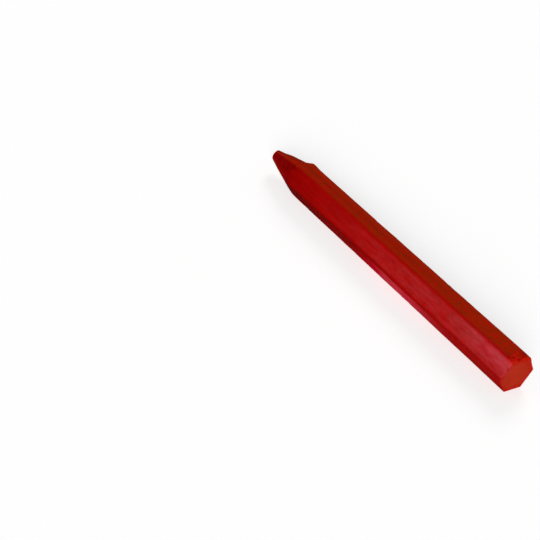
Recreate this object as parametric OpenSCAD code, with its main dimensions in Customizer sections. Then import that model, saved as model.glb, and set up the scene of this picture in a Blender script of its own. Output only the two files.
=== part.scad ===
// Lumber crayon: a solid hexagonal stick of hard red marking wax with a blunt
// conical nose. The crayon is one pressed stick, so the two sub-parts are its two
// zones, the barrel that is held and the nose that marks and is used up. They meet
// face to face over the whole hexagon, with nothing between them.
//
// The crayon lies on one flat. Its axis runs along X, the nose points to -X, the
// butt to +X, and the origin is on the floor below the middle of the length.

/* [Stick] */
// Overall length, from the blunt tip to the butt
length = 123.8; // [90:0.1:160]
// Width over two opposite flats
across_flats = 10.5; // [8:0.1:14]
// Radius along the six long edges
edge_radius = 0.3; // [0.2:0.05:1]
// Radius round the rim of the butt
butt_radius = 0.25; // [0.2:0.05:1]

/* [Nose] */
// Angle between the axis and the side of the cone
cone_angle = 12.5; // [8:0.5:30]
// Diameter at which the side of the cone would meet the end of the tip
tip_d = 3.5; // [2:0.1:5]
// Radius round the rim of the tip
tip_radius = 0.9; // [0.3:0.1:2]
// Diameter at which the cone begins to flare out to the corners
flare_d = 8.9; // [7:0.1:9]
// Radius of that hollow flare, seen from the side
flare_radius = 26; // [10:1:80]
// Whole hexagon behind the flare that still belongs to the nose
nose_land = 1; // [0.5:0.1:5]

/* [Hidden] */

wax_red = "#9e1218";

flats = 6;
flat_step = 360 / flats;
// Facets of a drawn circle
round_fn = 48;

// Centre of each edge's radius, and the furthest reach of the rounded corner
edge_centre = (across_flats / 2 - edge_radius) / cos(flat_step / 2);
corner_reach = edge_centre + edge_radius;

// The flare is an arc that leaves the side of the cone without a kink, so its centre
// lies square to that side, outside the stick
flare_start = (flare_d - tip_d) / 2 / tan(cone_angle);
flare_centre_r = flare_d / 2 + flare_radius * cos(cone_angle);
flare_centre_x = flare_start - flare_radius * sin(cone_angle);

// The nose runs from the tip until the flare clears the corners
shoulder = flare_centre_x + sqrt(pow(flare_radius, 2) - pow(flare_centre_r - corner_reach, 2));
nose_length = shoulder + nose_land;
tip_x = -length / 2;
butt_x = length / 2;
seam_x = tip_x + nose_length;

// The rounding of the tip's rim touches the end and the side of the cone. It is
// no larger than the flat end leaves room for.
rim_share = 1 / cos(cone_angle) - tan(cone_angle);
tip_round = min(tip_radius, tip_d / 2 / rim_share);
tip_flat = tip_d / 2 - tip_round * rim_share;

// How far a shape runs past what trims it
past = 1;
// The flare's outline runs past the seam and past the corners
flare_length = nose_length + past - flare_start;
flare_reach = corner_reach + past;

// Places a shape drawn along +Z from the origin on the crayon's axis at x
module on_axis(x) {
    translate([x, 0, across_flats / 2])
        rotate([90, 0, 90])
            children();
}

// Section of the stick: flats at the top and bottom, rounded edges
module rounded_hexagon() {
    circle(r = edge_centre, $fn = flats);
    for (i = [0 : flats - 1]) {
        rotate(i * flat_step)
            translate([edge_centre, 0])
                circle(r = edge_radius, $fn = round_fn);
        rotate((i + 0.5) * flat_step)
            translate([0, -edge_centre / 2])
                square([across_flats / 2, edge_centre]);
    }
}

module hex_stick(x, stick_length) {
    on_axis(x)
        linear_extrude(stick_length)
            rounded_hexagon();
}

// Side view of the stick between two opposite flats, with the butt's rim rounded
module flat_pair_outline() {
    half = across_flats / 2;
    translate([tip_x, -half])
        square([length - butt_radius, across_flats]);
    translate([tip_x, butt_radius - half])
        square([length, across_flats - 2 * butt_radius]);
    for (side = [-1, 1])
        translate([butt_x - butt_radius, side * (half - butt_radius)])
            circle(r = butt_radius, $fn = round_fn);
}

// That side view drawn across the stick, turned to one of its three pairs of flats
module flat_pair(turn) {
    translate([0, 0, across_flats / 2])
        rotate([turn, 0, 0])
            rotate([90, 0, 0])
                linear_extrude(2 * across_flats, center = true)
                    flat_pair_outline();
}

// Half outline of the nose: blunt end, rounded rim, straight side, hollow flare
module nose_outline() {
    rim_touch = tip_flat + tip_round * cos(cone_angle);
    polygon([
        [0, 0],
        [tip_flat, 0],
        [rim_touch, tip_round * (1 - sin(cone_angle))],
        [flare_d / 2, flare_start],
        [0, flare_start],
    ]);
    intersection() {
        translate([tip_flat, tip_round])
            circle(r = tip_round, $fn = round_fn);
        square([flare_d / 2, flare_start]);
    }
    difference() {
        translate([0, flare_start])
            square([flare_reach, flare_length]);
        translate([flare_centre_r, flare_centre_x])
            circle(r = flare_radius, $fn = round_fn);
    }
}

module hex_barrel() {
    color(wax_red)
        intersection() {
            hex_stick(seam_x, butt_x - seam_x + past);
            flat_pair(0);
            flat_pair(flat_step);
            flat_pair(2 * flat_step);
        }
}

module marking_nose() {
    color(wax_red)
        intersection() {
            hex_stick(tip_x - past, nose_length + past);
            on_axis(tip_x)
                rotate_extrude($fn = round_fn)
                    nose_outline();
        }
}

hex_barrel();
marking_nose();
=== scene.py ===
import math
import random

import bpy
import numpy as np
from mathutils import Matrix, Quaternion, Vector, noise


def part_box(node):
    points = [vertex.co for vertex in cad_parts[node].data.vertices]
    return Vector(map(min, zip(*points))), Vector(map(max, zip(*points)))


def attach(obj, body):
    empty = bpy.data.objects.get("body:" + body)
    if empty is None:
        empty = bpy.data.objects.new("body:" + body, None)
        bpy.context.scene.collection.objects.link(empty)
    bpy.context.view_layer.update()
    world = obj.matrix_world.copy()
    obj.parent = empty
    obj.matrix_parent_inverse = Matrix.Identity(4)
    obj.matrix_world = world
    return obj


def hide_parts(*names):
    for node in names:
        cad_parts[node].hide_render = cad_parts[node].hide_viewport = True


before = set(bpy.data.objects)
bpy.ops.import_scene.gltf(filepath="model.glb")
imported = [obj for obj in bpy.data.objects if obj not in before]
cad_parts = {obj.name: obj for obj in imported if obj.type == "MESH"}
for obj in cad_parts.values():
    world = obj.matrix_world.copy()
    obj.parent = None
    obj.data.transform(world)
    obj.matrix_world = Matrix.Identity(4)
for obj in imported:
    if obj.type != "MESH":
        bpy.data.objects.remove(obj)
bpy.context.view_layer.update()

# Camera. The view looks along the crayon from its butt, a hand's length above it and a
# little tilted, close enough that the butt is drawn larger than the nose.
camera_at = Vector((0.24814, -0.23401, 0.21533))
azimuth, elevation, roll = (math.radians(angle) for angle in (52.154, 33.357, 10.428))
looking_back = Vector((
    math.sin(azimuth) * math.cos(elevation),
    -math.cos(azimuth) * math.cos(elevation),
    math.sin(elevation),
))
camera = bpy.data.objects.new("camera", bpy.data.cameras.new("camera"))
camera.data.sensor_width = 36
camera.data.lens = 88.678
camera.data.clip_start = 0.01
camera.location = camera_at
camera.rotation_mode = "QUATERNION"
camera.rotation_quaternion = (-looking_back).to_track_quat("-Z", "Y") @ Quaternion((0, 0, 1), roll)
bpy.context.scene.collection.objects.link(camera)
bpy.context.scene.camera = camera

# Barrel. The hexagonal stick that the hand holds: hard wax filled with chalk and red
# pigment, pressed in a mould that drags lines along it. Lying loose among others has
# knocked its edges, and the butt is cut off flat with a rim that crumbled at the top.
mm = 0.001
barrel_low, barrel_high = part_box("hex_barrel")
seam_x = barrel_low.x
butt_x = barrel_high.x
half_flats = (barrel_high.z - barrel_low.z) / 2
corner_reach = (barrel_high.y - barrel_low.y) / 2
axis_z = barrel_low.z + half_flats

sides = 6
half_side = math.pi / sides
sharp_corner = half_flats / math.cos(half_side)
edge_r = (sharp_corner - corner_reach) / (1 / math.cos(half_side) - 1)
flat_end = (half_flats - edge_r) * math.tan(half_side)
edge_start = math.atan2(flat_end, half_flats)
flat_steps = 28
edge_steps = 6


def around_stick():
    """Angles round the axis from +Y towards +Z, close together on the rounded edges."""
    on_flat = np.arctan(np.linspace(-flat_end, flat_end, flat_steps + 1) / half_flats)
    on_edge = np.linspace(edge_start, 2 * half_side - edge_start, edge_steps + 1)[1:-1]
    one_side = np.concatenate([on_flat, on_edge])
    return np.concatenate([one_side + (2 * side + 1) * half_side for side in range(sides)])


def hexagon(angle):
    """Distance from the axis to the rounded hexagon at these angles."""
    off_flat = np.abs(angle % (2 * half_side) - half_side)
    off_corner = half_side - off_flat
    edge_centre = (half_flats - edge_r) / math.cos(half_side)
    under_root = np.maximum(edge_r**2 - (edge_centre * np.sin(off_corner))**2, 0)
    on_edge = edge_centre * np.cos(off_corner) + np.sqrt(under_root)
    return np.where(off_flat < edge_start, half_flats / np.cos(off_flat), on_edge)


def swing(start, end, value):
    """0 at the start, 1 at the end, and a smooth swing between them, upwards or downwards."""
    share = np.clip((value - start) / (end - start), 0, 1)
    return share * share * (3 - 2 * share)


def near(middle, spread, value):
    """1 at the middle, and less the more spreads a value lies from it."""
    return np.exp(-((value - middle) / spread)**2)


def from_edge(angle):
    """Distance from the nearest long edge, measured along the flat."""
    across = half_flats * np.tan(angle % (2 * half_side) - half_side)
    return half_flats * math.tan(half_side) - np.abs(across)


def spots(x, y, z, size, stretch=1.0, seed=0):
    """Smooth noise from 0 to 1 in spots of this size, drawn out along the crayon."""
    at = np.stack([x / (size * stretch) + seed, y / size, z / size], axis=-1)
    values = [noise.noise(spot) for spot in at.reshape(-1, 3)]
    return np.clip(0.5 + 0.5 * np.array(values).reshape(x.shape), 0, 1)


def pressed(x, angle):
    """Height of the mould's swells and drag lines, less the rubbing on the edges."""
    y, z = corner_reach * np.cos(angle), corner_reach * np.sin(angle)
    swell = 0.05 * mm * (spots(x, y, z, 6 * mm, stretch=2.5) - 0.5)
    drag = 0.03 * mm * (spots(x, y, z, 0.7 * mm, stretch=12, seed=5) - 0.5)
    worn = 0.04 * mm * (1 - swing(0.1 * mm, 0.6 * mm, from_edge(angle)))
    return swell + drag - worn * spots(x, y, z, 1.6 * mm, stretch=2, seed=9)


def on_stick(x, angle, radius):
    """Points at these places along the axis, angles and distances from it."""
    return np.stack([x, radius * np.cos(angle), axis_z + radius * np.sin(angle)], axis=-1)


# Knocks: soft hollows on the edges and flats, most of them longer along the crayon than wide
dice = random.Random(12)
knocks = []
for corner in range(sides):
    for _ in range(7):
        turn = 2 * half_side * corner + dice.uniform(-0.04, 0.04)
        knocks.append({
            "at": (dice.uniform(seam_x - 2 * mm, butt_x - 5 * mm), turn, corner_reach),
            "long": dice.uniform(0.5, 2.0) * mm,
            "wide": dice.uniform(0.4, 0.7) * mm,
            "deep": dice.uniform(0.02, 0.07) * mm,
        })
for _ in range(40):
    turn = dice.uniform(0, 2 * math.pi)
    knocks.append({
        "at": (dice.uniform(seam_x - 2 * mm, butt_x - 4 * mm), turn, half_flats),
        "long": dice.uniform(0.4, 1.4) * mm,
        "wide": dice.uniform(0.3, 0.5) * mm,
        "deep": dice.uniform(0.02, 0.05) * mm,
    })

# Chips round the butt's rim, some darkened as painted shade in their dents and some made bright,
# partly scraped wax and partly painted glints, a shallow dent on the top flat darkened as painted
# shade, and on the nose a nick painted bright as a glint, two dents, a bump, and wax pushed up
# behind the cut
for x_mm, degrees, reach_mm, long_mm, wide_mm, deep_mm, show in (
    (61.6, 99, 5.3, 0.5, 0.7, 0.2, "dent_shade"),
    (60.5, 108, 5.5, 0.4, 0.5, 0.1, "dent_shade"),
    (59.8, 118, 5.9, 0.6, 0.5, 0.1, "dent_shade"),
    (61.9, 146, 5.1, 0.5, 0.5, 0.05, "dent_shade"),
    (59.7, 98, 5.3, 0.5, 0.5, 0.1, "scrape_and_glint"),
    (59.4, 83, 5.3, 0.5, 0.4, 0.06, "scrape_and_glint"),
    (61.3, 112, 5.7, 0.9, 0.8, 0.2, "scrape_and_glint"),
    (61.8, 66, 5.8, 0.5, 0.8, 0.1, "scrape_and_glint"),
    (-31.2, 90, 5.3, 1.8, 0.55, 0.04, "dent_shade"),
    (-45.3, 119, 5.7, 0.35, 0.4, 0.1, "scrape_and_glint"),
    (-47.8, 62, 4.8, 1.1, 1.4, 0.14, None),
    (-57.6, 54, 2.6, 2.2, 1.2, 0.12, None),
    (-54.0, 54, 3.5, 1.6, 1.2, -0.1, None),
    (-43.8, 58, 6.0, 2.2, 1.1, -0.2, None),
):
    knocks.append({
        "at": (x_mm * mm, math.radians(degrees), reach_mm * mm),
        "long": long_mm * mm,
        "wide": wide_mm * mm,
        "deep": deep_mm * mm,
        "show": show,
    })


def knocked(points):
    """The points with the knocks pushed into them, and how much each paints the wax bright as a
    scrape and glint, and dark as shade in a dent.
    """
    shows_fully = 0.08 * mm
    shown = {"scrape_and_glint": np.zeros(points.shape[:-1]), "dent_shade": np.zeros(points.shape[:-1])}
    for knock in knocks:
        x, turn, reach = knock["at"]
        off = points - np.array([x, reach * math.cos(turn), axis_z + reach * math.sin(turn)])
        off_axis = off[..., 1]**2 + off[..., 2]**2
        share = np.exp(-(off[..., 0] / knock["long"])**2 - off_axis / knock["wide"]**2)
        inward = np.array([0, -math.cos(turn), -math.sin(turn)])
        points = points + (knock["deep"] * share)[..., None] * inward
        if knock.get("show"):
            strength = min(knock["deep"] / shows_fully, 1)
            shown[knock["show"]] = np.maximum(shown[knock["show"]], strength * share)
    return points, shown


# What lies on each side, counted from +Y towards +Z. The two upper flats carry a painted warm
# brown reflection, and the front flat keeps its bloom with a painted sheen. The flat below the
# front edge carries painted shade on a slant towards the nose, and painted crimson and pale
# light beyond that.
side_warm_reflection = np.array([0.9, 1.0, 0.0, 0.1, 0.5, 0.6])
side_bloom_and_sheen = np.array([0.1, 0.0, 1.0, 0.1, 0.4, 0.5])
side_below_front_edge = np.array([0.0, 0.0, 0.0, 1.0, 0.0, 0.0])
front_edge = math.pi
painted_light_slant = 13 * mm


def by_side(values, angle):
    """A value for each side, with a soft change over the edges between them."""
    soft_edge = 0.09
    turns = np.linspace(-soft_edge, soft_edge, 7)[:, None, None]
    side = ((angle + turns) // (2 * half_side)).astype(int) % sides
    return values[side].mean(axis=0)


def across_side(angle):
    """How far an angle lies across its own side, from 0 at one edge to 1 at the next."""
    return (angle % (2 * half_side)) / (2 * half_side)


def below_front(x, angle):
    """How far down the flat below the front edge, and how far along it on the slant."""
    down = np.clip((angle - front_edge) / (2 * half_side), 0, 1)
    return down, x + painted_light_slant * (down - 0.5)


def warm_reflection_on(x, angle):
    """How strong the painted warm reflection is: up to just short of an edge, and less by the butt.
    """
    short_of_edge = 0.045
    return by_side(side_warm_reflection, angle + short_of_edge) * (1 - 0.6 * swing(57 * mm, 61 * mm, x))


def bloom_and_sheen_on(x, angle):
    """How thick the bloom and its painted sheen lie, and with them the painted pale light on the
    flat below the front edge.
    """
    # Bloom, with a painted sheen on it, starts behind the nose, thickens towards the butt and the
    # upper edge, stops short of the edges, and is thinner in one place
    across = across_side(angle)
    bloom_and_sheen_from, thin_at = -45 * mm, 34 * mm
    towards_butt = np.clip((x - bloom_and_sheen_from) / (butt_x - bloom_and_sheen_from), 0, 1)**1.7
    towards_top = 1 + 0.9 * swing(0, 55 * mm, x) * (0.5 - across)
    stop = 0.97 + 0.05 * swing(10 * mm, 40 * mm, x)
    off_edges = swing(0, 0.19, across) * swing(stop, stop - 0.13, across)
    thick = towards_butt * towards_top * off_edges * (1 - 0.4 * near(thin_at, 7 * mm, x))

    down, _ = below_front(x, angle)
    painted_pale_light = 1.5 * swing(2 * mm, 9 * mm, x) * swing(44 * mm, 5 * mm, x) * swing(0.02, 0.38, down)
    return by_side(side_bloom_and_sheen, angle) * thick + by_side(side_below_front_edge, angle) * painted_pale_light


def grime_and_shade_on(x, angle):
    """How dark the wax is made: grime on the edges, painted shade on the nose, below the front edge
    and along the upper flats.
    """
    # Painted shade darkens the nose in three stretches, less of it low on its front
    low_front, low_spread = 3.55, 0.45
    nose = 0.3 * swing(12 * mm, -30 * mm, x) + 0.19 * swing(-30 * mm, -40 * mm, x)
    nose = nose + 0.28 * swing(-41 * mm, -48 * mm, x)
    nose = nose * (1 - 0.75 * near(low_front, low_spread, angle) * swing(-44 * mm, -48 * mm, x))

    # Painted shade darkens the flat below the front edge in two stretches, with a darker line at the
    # edge
    down, slanted = below_front(x, angle)
    behind_nose = swing(-50 * mm, -45 * mm, x)
    flat = 0.7 * swing(-2 * mm, -15 * mm, slanted) + 0.33 * swing(-20 * mm, -28 * mm, slanted)
    flat = by_side(side_below_front_edge, angle) * flat * (0.9 + 0.2 * down) * behind_nose
    line = 0.25 * swing(22 * mm, 0, x) * behind_nose + 0.3 * near(-5 * mm, 10 * mm, x)
    line = line * near(front_edge + 0.04, 0.12, angle)

    # The darkening is taken off where the warm reflection is painted, apart from a little painted
    # shade along the middle of those flats
    edges = 0.25 * (1 - swing(0.1 * mm, 0.8 * mm, from_edge(angle)))
    darkening = np.maximum(np.maximum(nose, flat), edges) + line
    warm_reflection = warm_reflection_on(x, angle)
    middle_shade = 0.2 * warm_reflection * swing(50 * mm, 10 * mm, x) * near(0.5, 0.22, across_side(angle))
    return darkening * (1 - 0.95 * warm_reflection) + middle_shade


def painted_light_on(x, angle):
    """How much painted light brightens the wax to a fresh red: below the front edge, and in front by
    the butt.
    """
    down, slanted = below_front(x, angle)
    below = near(14 * mm, 15 * mm, x) * swing(-8 * mm, 0, slanted) * swing(0.02, 0.3, down)
    front = 0.23 * swing(43 * mm, 53 * mm, x) * swing(0.9, 0.4, across_side(angle))
    return by_side(side_below_front_edge, angle) * below + by_side(side_bloom_and_sheen, angle) * front


def surface_marks(x, angle):
    """What has come onto the pressed wax, and the light and shade painted on it, for its colour to
    follow.
    """
    return {
        "bloom_and_sheen": bloom_and_sheen_on(x, angle),
        "warm_reflection": warm_reflection_on(x, angle),
        "grime_and_shade": grime_and_shade_on(x, angle),
        "painted_light": painted_light_on(x, angle),
    }


def skin(name, rings, marks, start, end):
    """A closed mesh over rings of points, with each end closed on its own middle point."""
    count, size = rings.shape[:2]
    points = [*rings.reshape(-1, 3), start, end]
    last_ring = (count - 1) * size
    start_point, end_point = count * size, count * size + 1
    faces = []
    for row in range(count - 1):
        for step in range(size):
            here, there = row * size + step, row * size + (step + 1) % size
            faces.append((here, there, there + size, here + size))
    for step in range(size):
        after = (step + 1) % size
        faces.append((start_point, after, step))
        faces.append((end_point, last_ring + step, last_ring + after))
    mesh = bpy.data.meshes.new(name)
    mesh.from_pydata([tuple(point) for point in points], [], faces)
    mesh.polygons.foreach_set("use_smooth", [True] * len(faces))
    for mark, values in marks.items():
        layer = mesh.attributes.new(mark, "FLOAT", "POINT")
        layer.data.foreach_set("value", [*values.ravel(), values[0].mean(), values[-1].mean()])
    # The first ring is shaded as an edge, so that the flat end behind it doesn't show
    for edge in mesh.edges:
        if max(edge.vertices) < size:
            edge.use_edge_sharp = True
    piece = bpy.data.objects.new(name, mesh)
    bpy.context.scene.collection.objects.link(piece)
    return piece


angles = around_stick()
barrel_step = 0.35 * mm
rim_turns = np.linspace(0, math.pi / 2, 8)[1:]
face_steps = 24

# The rim's rounding, uneven, wider at the top where it crumbled and widest at the front
# where it is worn, and the burr that the cut left at the far upper corner
rim_y, rim_z = corner_reach * np.cos(angles), corner_reach * np.sin(angles)
crumbled = near(math.radians(106), math.radians(18), angles)
worn_front = near(math.radians(165), math.radians(34), angles)
rim = (0.14 + 0.25 * crumbled + 0.45 * worn_front) * mm
rim = rim * (0.6 + 0.8 * spots(0 * angles, rim_y, rim_z, 1.0 * mm, seed=2))
burr = 0.4 * mm * near(math.radians(56), math.radians(17), angles)
shares = np.linspace(0, 1, round((butt_x - seam_x) / barrel_step) + 1)
x = seam_x + shares[:, None] * (butt_x + burr - rim - seam_x)
angle = np.broadcast_to(angles, x.shape)
radius = hexagon(angle) + pressed(x, angle)
side = on_stick(x, angle, radius)

turned_in = rim * (1 - np.cos(rim_turns))[:, None] / half_flats
rim_x = butt_x + burr - rim + rim * np.sin(rim_turns)[:, None]
rim_radius = radius[-1] * (1 - turned_in)
round_rim = on_stick(rim_x, np.broadcast_to(angles, rim_x.shape), rim_radius)

inward = np.linspace(1, 0, face_steps + 1)[1:-1, None]
face_radius = rim_radius[-1] * inward
face_angle = np.broadcast_to(angles, face_radius.shape)
face_y, face_z = face_radius * np.cos(face_angle), face_radius * np.sin(face_angle)
cut_depth = 0.08 * mm * spots(0 * face_radius, face_y, face_z, 1.2 * mm, seed=3)
inside_rim = np.minimum((1 - inward) * 8, 1)
face = on_stick(butt_x + burr * inward**5 - cut_depth * inside_rim, face_angle, face_radius)

rings, shown = knocked(np.concatenate([side, round_rim, face]))
ring_x, ring_y, ring_z = rings[..., 0], rings[..., 1], rings[..., 2] - axis_z
ring_angle = np.broadcast_to(angles, ring_x.shape)

# The butt is cut wax, fading out raggedly towards its rim and smeared over it at the lower
# front. The rim is painted bright as a highlight where it isn't worn, and the top flat next to it is
# scraped bright.
ragged = swing(0.3, 0.6, spots(ring_x, ring_y, ring_z, 0.9 * mm, seed=4))
smeared = near(math.radians(207), math.radians(27), ring_angle)
past_rim = ring_x - butt_x + half_flats * (1 - np.hypot(ring_y, ring_z) / hexagon(ring_angle))
cut_from = (-1.4 * smeared - 0.8 * (ragged - 0.7)) * mm
cut = swing(cut_from, cut_from + 2.2 * mm, past_rim)
rim_highlight = 0.5 * (1 - worn_front) * swing(-0.5 * mm, 0.3 * mm, past_rim)
on_top = crumbled * swing(-3.2 * mm, -1.2 * mm, past_rim) * (0.35 + 0.65 * ragged)
scrape_and_glint = np.maximum(shown["scrape_and_glint"], np.maximum(rim_highlight, on_top))
barrel = skin(
    "hex_barrel_stick",
    rings,
    {
        **surface_marks(ring_x, ring_angle),
        "cut": cut,
        "scrape_and_glint": scrape_and_glint * (1 - cut),
        "dent_shade": shown["dent_shade"],
    },
    (seam_x, 0, axis_z),
    (butt_x - 0.04 * mm, 0, axis_z),
)


def linear(hex_colour):
    """An sRGB hex colour as the linear colour that a shader takes."""
    parts = [int(hex_colour[i:i + 2], 16) / 255 for i in (1, 3, 5)]
    return (*[p / 12.92 if p <= 0.04045 else ((p + 0.055) / 1.055)**2.4 for p in parts], 1)


def node(tree, kind, inputs=(), **settings):
    """Adds a node with its settings. A socket among the inputs is linked, a value is set."""
    made = tree.nodes.new(kind)
    for name, value in settings.items():
        setattr(made, name, value)
    for socket, value in dict(inputs).items():
        if isinstance(value, bpy.types.NodeSocket):
            tree.links.new(value, made.inputs[socket])
        else:
            made.inputs[socket].default_value = value
    return made


# Hard marking wax, pigment in wax and chalk, pressed smooth and then handled. The eye sees
# a dull, deep, uneven red with faint drag lines, brown and red mottles painted as a warm
# reflection on the upper flats, a thin pink bloom with a painted sheen on the front flats, dark
# grime and painted shade, painted crimson and pale light below the front edge and towards the
# butt, and orange where it was cut, partly painted warm light. A mix node takes its share at
# socket 0 and its two colours at 6 and 7. A map range takes a value at 0, its range at 1 and 2,
# and the new range at 3 and 4.
wax = bpy.data.materials.new("pressed_red_marking_wax")
wax.use_nodes = True
tree = wax.node_tree
surface = tree.nodes["Principled BSDF"]
place = node(tree, "ShaderNodeTexCoord").outputs["Object"]
mark = {
    name: node(tree, "ShaderNodeAttribute", attribute_name=name).outputs["Fac"]
    for name in ("bloom_and_sheen", "warm_reflection", "grime_and_shade", "painted_light", "cut", "scrape_and_glint", "dent_shade")
}

# Clouds of pigment, about 3.5 mm
clouds = node(tree, "ShaderNodeTexNoise", {
    "Vector": place, "Scale": 1 / (3.5 * mm), "Detail": 4, "Roughness": 0.6,
})
cloud_share = node(tree, "ShaderNodeMapRange", {0: clouds.outputs["Fac"], 1: 0.3, 2: 0.7})
red = node(tree, "ShaderNodeMix", {
    0: cloud_share.outputs[0], 6: linear("#a40302"), 7: linear("#b20403"),
}, data_type="RGBA")

# Mottles, 0.8 by 2 mm: brown and red ones painting a warm reflection on the upper flats, darker wax
# all over
mottle_place = node(tree, "ShaderNodeMapping", {
    "Vector": place, "Scale": (1 / (2 * mm), 1 / (0.8 * mm), 1 / (0.8 * mm)),
})
mottles = node(tree, "ShaderNodeTexNoise", {
    "Vector": mottle_place.outputs[0], "Scale": 1, "Detail": 4, "Roughness": 0.65,
})
warm_reflection_patches = node(tree, "ShaderNodeMapRange", {0: mottles.outputs["Fac"], 1: 0.33, 2: 0.67})
warm_reflection_mottles = node(tree, "ShaderNodeMix", {
    0: warm_reflection_patches.outputs[0], 6: linear("#c61402"), 7: linear("#923202"),
}, data_type="RGBA")
warm_reflection_share = node(tree, "ShaderNodeMath", {0: mark["warm_reflection"], 1: 0.9}, operation="MULTIPLY")
warm_reflected_red = node(tree, "ShaderNodeMix", {
    0: warm_reflection_share.outputs[0], 6: red.outputs[2], 7: warm_reflection_mottles.outputs[2],
}, data_type="RGBA")
# Grime on the edges and along the front edge, and painted shade on the nose, below the front edge
# and along the middle of the upper flats
grime_and_shade_red = node(tree, "ShaderNodeMix", {
    0: mark["grime_and_shade"], 6: warm_reflected_red.outputs[2], 7: linear("#6c0201"),
}, data_type="RGBA")
dark_patches = node(tree, "ShaderNodeMapRange", {0: mottles.outputs["Fac"], 1: 0.48, 2: 0.7, 4: 0.3})
mottled = node(tree, "ShaderNodeMix", {
    0: dark_patches.outputs[0], 6: grime_and_shade_red.outputs[2], 7: linear("#7a0401"),
}, data_type="RGBA")

# Drag lines, 0.5 mm wide and 9 mm long
line_place = node(tree, "ShaderNodeMapping", {
    "Vector": place, "Scale": (1 / (9 * mm), 1 / (0.5 * mm), 1 / (0.5 * mm)),
})
lines = node(tree, "ShaderNodeTexNoise", {
    "Vector": line_place.outputs[0], "Scale": 1, "Detail": 2, "Roughness": 0.5,
})
line_share = node(tree, "ShaderNodeMapRange", {0: lines.outputs["Fac"], 1: 0.42, 2: 0.72, 4: 0.3})
lined = node(tree, "ShaderNodeMix", {
    0: line_share.outputs[0], 6: mottled.outputs[2], 7: linear("#c40804"),
}, data_type="RGBA")

# Specks of chalk, drawn at 0.4 mm, larger than they are, so that they show
specks = node(tree, "ShaderNodeTexNoise", {"Vector": place, "Scale": 1 / (0.4 * mm), "Detail": 1})
speck_share = node(tree, "ShaderNodeMapRange", {0: specks.outputs["Fac"], 1: 0.7, 2: 0.84, 4: 0.4})
specked = node(tree, "ShaderNodeMix", {
    0: speck_share.outputs[0], 6: lined.outputs[2], 7: linear("#c83a28"),
}, data_type="RGBA")

# Painted light, and bloom with a painted sheen, in patches of about 1 by 5 mm along the crayon
patch_place = node(tree, "ShaderNodeMapping", {
    "Vector": place, "Scale": (1 / (5 * mm), 1 / (1.1 * mm), 1 / (1.1 * mm)),
})
patches = node(tree, "ShaderNodeTexNoise", {
    "Vector": patch_place.outputs[0], "Scale": 1, "Detail": 3, "Roughness": 0.6,
})
painted_light_patches = node(tree, "ShaderNodeMapRange", {
    0: patches.outputs["Fac"], 1: 0.3, 2: 0.7, 3: 0.6, 4: 1.4,
})
painted_light = node(tree, "ShaderNodeMath", {
    0: mark["painted_light"], 1: painted_light_patches.outputs[0],
}, operation="MULTIPLY")
painted_light_red = node(tree, "ShaderNodeMix", {
    0: painted_light.outputs[0], 6: specked.outputs[2], 7: linear("#d6042e"),
}, data_type="RGBA")
bloom_and_sheen_patches = node(tree, "ShaderNodeMapRange", {
    0: patches.outputs["Fac"], 1: 0.3, 2: 0.7, 3: 0.02, 4: 0.105,
})
bloom_and_sheen = node(tree, "ShaderNodeMath", {
    0: mark["bloom_and_sheen"], 1: bloom_and_sheen_patches.outputs[0],
}, operation="MULTIPLY")
hazed = node(tree, "ShaderNodeMix", {
    0: bloom_and_sheen.outputs[0], 6: painted_light_red.outputs[2], 7: linear("#f0b2b8"),
}, data_type="RGBA")

# Breaks and painted light: bright red where wax was scraped and for painted glints and the painted
# rim highlight, orange where it was cut, partly painted warm light, and dark as painted shade in
# dents
scrape_and_glint_red = node(tree, "ShaderNodeMix", {
    0: mark["scrape_and_glint"], 6: hazed.outputs[2], 7: linear("#de1e08"),
}, data_type="RGBA")
# The cut's orange is partly painted warm light
cut_and_warm_light_red = node(tree, "ShaderNodeMix", {
    0: cloud_share.outputs[0], 6: linear("#be321d"), 7: linear("#b42b18"),
}, data_type="RGBA")
broken = node(tree, "ShaderNodeMix", {
    0: mark["cut"], 6: scrape_and_glint_red.outputs[2], 7: cut_and_warm_light_red.outputs[2],
}, data_type="RGBA")
dent_shaded = node(tree, "ShaderNodeMix", {
    0: mark["dent_shade"], 6: broken.outputs[2], 7: linear("#940201"),
}, data_type="RGBA")
tree.links.new(dent_shaded.outputs[2], surface.inputs["Base Color"])

# Chalk in the wax leaves it nearly without shine
shine = node(tree, "ShaderNodeMapRange", {
    0: mottles.outputs["Fac"], 1: 0.3, 2: 0.7, 3: 0.6, 4: 0.75,
})
tree.links.new(shine.outputs[0], surface.inputs["Roughness"])
surface.inputs["IOR"].default_value = 1.44
surface.inputs["Specular IOR Level"].default_value = 0.005

# Relief of the drag lines, and grain of the chalk, drawn at 0.4 mm, coarser than it is, so
# that it shows
line_bump = node(tree, "ShaderNodeBump", {
    "Height": lines.outputs["Fac"], "Strength": 0.5, "Distance": 0.05 * mm,
})
grain = node(tree, "ShaderNodeTexNoise", {"Vector": place, "Scale": 1 / (0.4 * mm), "Detail": 3})
grain_bump = node(tree, "ShaderNodeBump", {
    "Height": grain.outputs["Fac"],
    "Normal": line_bump.outputs[0],
    "Strength": 0.6,
    "Distance": 0.05 * mm,
})
tree.links.new(grain_bump.outputs[0], surface.inputs["Normal"])

barrel.data.materials.append(wax)
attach(barrel, "root")
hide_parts("hex_barrel")

# Nose. The marking end of the same stick, cut to a cone that flares out into the six
# flats, more on its far upper side. Marking has worn its blunt tip to a slant.
tip_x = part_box("marking_nose")[0].x
nose_length = seam_x - tip_x
tip_r = 1.75 * mm
tip_round = 0.35 * mm
cone_angle = math.radians(12.5)
nose_step = 0.2 * mm
end_steps = 8

# The crease between the cone and a flat is rounded, and sharpens out at the seam
crease = 0.2 * mm
crease_end = 1.5 * mm

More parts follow.
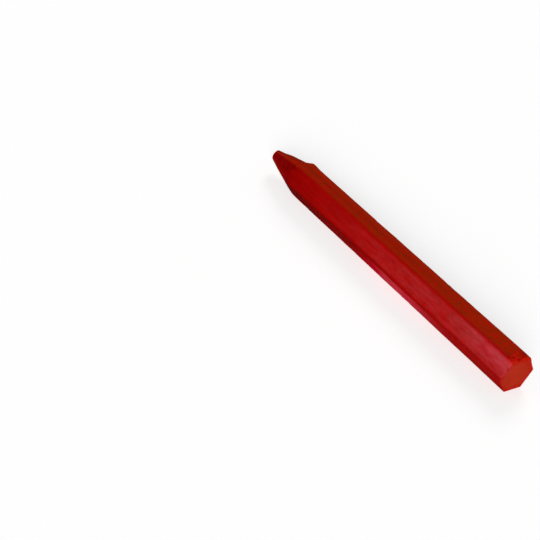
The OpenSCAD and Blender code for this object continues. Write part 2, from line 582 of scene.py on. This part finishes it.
# The flare: the side where it is strongest, where it leaves the cone and how much sooner
# on that side, how steeply it rises and how much more there, and how its bend is rounded
flare_turn = math.radians(60)
flare_from, flare_sooner = 15.35 * mm, 0.15 * mm
flare_slope, flare_steeper = 0.17, 0.05
flare_bend = 0.5 * mm

# The worn end: how far back it lies at its middle, how much it slants and which way, how
# far up the cone it reaches, how much thinner the cone has been rubbed there, and how far
# and which way the tip leans off the axis
worn_back = 0.95 * mm
worn_slant = 0.55 * mm
worn_turn = math.radians(160)
worn_reach = 6 * mm
worn_thinner = 0.17 * mm
lean = 0.1 * mm
lean_turn = math.radians(45)


def cone_radius(from_tip, angle):
    """Radius of the cone and its flare at these distances from the unworn tip."""
    towards = np.cos(angle - flare_turn)
    past = from_tip - (flare_from - flare_sooner * towards)
    flare = (flare_slope + flare_steeper * towards) * (past + np.sqrt(past**2 + flare_bend**2)) / 2
    thinner = worn_thinner * np.clip(1 - from_tip / worn_reach, 0, 1)
    return tip_r + from_tip * math.tan(cone_angle) + flare - thinner


# Rings from the seam down the cone, round the rim of the tip and over its end
rim_share = 1 / math.cos(cone_angle) - math.tan(cone_angle)
side_from = tip_round * (1 - math.sin(cone_angle))
down_cone = np.linspace(nose_length, side_from, round((nose_length - side_from) / nose_step) + 1)
turns = np.linspace(cone_angle, math.pi / 2, 9)[1:]
down_rim = tip_round * (1 - np.sin(turns))
rim_inset = tip_round * (rim_share - np.cos(turns)) + down_rim * math.tan(cone_angle)
over_end = np.linspace(1, 0, end_steps + 1)[1:-1]
down = np.concatenate([down_cone, down_rim, 0 * over_end])[:, None]
inset = np.concatenate([0 * down_cone, rim_inset, rim_inset[-1] + 0 * over_end])[:, None]
outward = np.concatenate([1 + 0 * down_cone, 1 + 0 * down_rim, over_end])[:, None]

angle = np.broadcast_to(angles, (len(down), len(angles)))
worn = worn_back + worn_slant * outward * np.cos(angle - worn_turn)
from_tip = down + worn * np.clip(1 - down / worn_reach, 0, 1)**2
cone = (cone_radius(from_tip, angle) - inset) * outward
cone = cone + np.minimum(lean, cone) * (1 - down / nose_length) * np.cos(angle - lean_turn)
stick = hexagon(angle)
bend = crease * np.clip((nose_length - down) / crease_end, 0.02, 1)
coned = np.clip(0.5 + 0.5 * (stick - cone) / bend, 0, 1)
radius = stick * (1 - coned) + cone * coned - bend * coned * (1 - coned)
x = tip_x + from_tip
radius = radius + pressed(x, angle) * (1 - 0.6 * coned) * outward
rings, shown = knocked(on_stick(x, angle, radius))
# The worn tip is scraped bright; the nick's brightness on the nose is a painted glint
marks = {
    **surface_marks(x, angle),
    "cut": 0 * x,
    "scrape_and_glint": np.maximum(shown["scrape_and_glint"], 0.6 * (1 - swing(0.2 * mm, 1.4 * mm, down))),
    "dent_shade": shown["dent_shade"],
}
# These rings run from the seam to the tip, so each is turned round to face outward
nose = skin(
    "marking_nose_cone",
    rings[:, ::-1],
    {name: values[:, ::-1] for name, values in marks.items()},
    (seam_x, 0, axis_z),
    tuple(rings[-1].mean(axis=0)),
)
nose.data.materials.append(wax)
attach(nose, "root")
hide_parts("marking_nose")

# Floor. A plain white paper sheet that the crayon lies on, wide enough to fill the view. It
# is lifted to full white for the eye alone, so the crayon's soft shadow stays on it.
half_sheet = 6.0
quarters = ((-1, -1), (1, -1), (1, 1), (-1, 1))
sheet_corners = [(half_sheet * x, half_sheet * y, 0) for x, y in quarters]
floor_mesh = bpy.data.meshes.new("floor")
floor_mesh.from_pydata(sheet_corners, [], [(0, 1, 2, 3)])
floor = bpy.data.objects.new("floor", floor_mesh)
bpy.context.scene.collection.objects.link(floor)
paper = bpy.data.materials.new("white_paper")
paper.use_nodes = True
tree = paper.node_tree
sheet = tree.nodes["Principled BSDF"]
sheet.inputs["Base Color"].default_value = linear("#d2d2d2")
sheet.inputs["Roughness"].default_value = 0.9
sheet.inputs["Specular IOR Level"].default_value = 0
sheet.inputs["Emission Color"].default_value = (1, 1, 1, 1)


def shown_to_eye(tree):
    """1 for rays from the camera, a mirror or glass, 0 for those that carry light."""
    seen = node(tree, "ShaderNodeLightPath")
    mirrored = node(tree, "ShaderNodeMath", {
        0: seen.outputs["Is Glossy Ray"], 1: seen.outputs["Is Transmission Ray"],
    }, operation="MAXIMUM")
    return node(tree, "ShaderNodeMath", {
        0: seen.outputs["Is Camera Ray"], 1: mirrored.outputs[0],
    }, operation="MAXIMUM").outputs[0]


lift = node(tree, "ShaderNodeMath", {0: shown_to_eye(tree), 1: 0.58}, operation="MULTIPLY")
tree.links.new(lift.outputs[0], sheet.inputs["Emission Strength"])
floor.data.materials.append(paper)

# Light. A large soft lamp far off beside the camera, a weaker one at the left for the nose
# and one behind for the top, with a dim even room round them.
for name, towards_lamp, spread, strength in (
    ("front_lamp", (0.70, -0.61, 0.36), 27, 2.56),
    ("left_lamp", (-0.47, -0.84, 0.28), 24, 0.3),
    ("back_lamp", (-0.52, 0.63, 0.58), 24, 0.85),
):
    lamp = bpy.data.objects.new(name, bpy.data.lights.new(name, "SUN"))
    lamp.data.angle = math.radians(spread)
    lamp.data.energy = strength
    lamp.rotation_mode = "QUATERNION"
    lamp.rotation_quaternion = (-Vector(towards_lamp)).to_track_quat("-Z", "Y")
    bpy.context.scene.collection.objects.link(lamp)

room = bpy.data.worlds.new("room")
room.use_nodes = True
tree = room.node_tree
level = node(tree, "ShaderNodeMapRange", {0: shown_to_eye(tree), 3: 0.16, 4: 1.0})
tree.nodes["Background"].inputs["Color"].default_value = (1, 1, 1, 1)
tree.links.new(level.outputs[0], tree.nodes["Background"].inputs["Strength"])
bpy.context.scene.world = room
bpy.context.scene.view_settings.view_transform = "Standard"
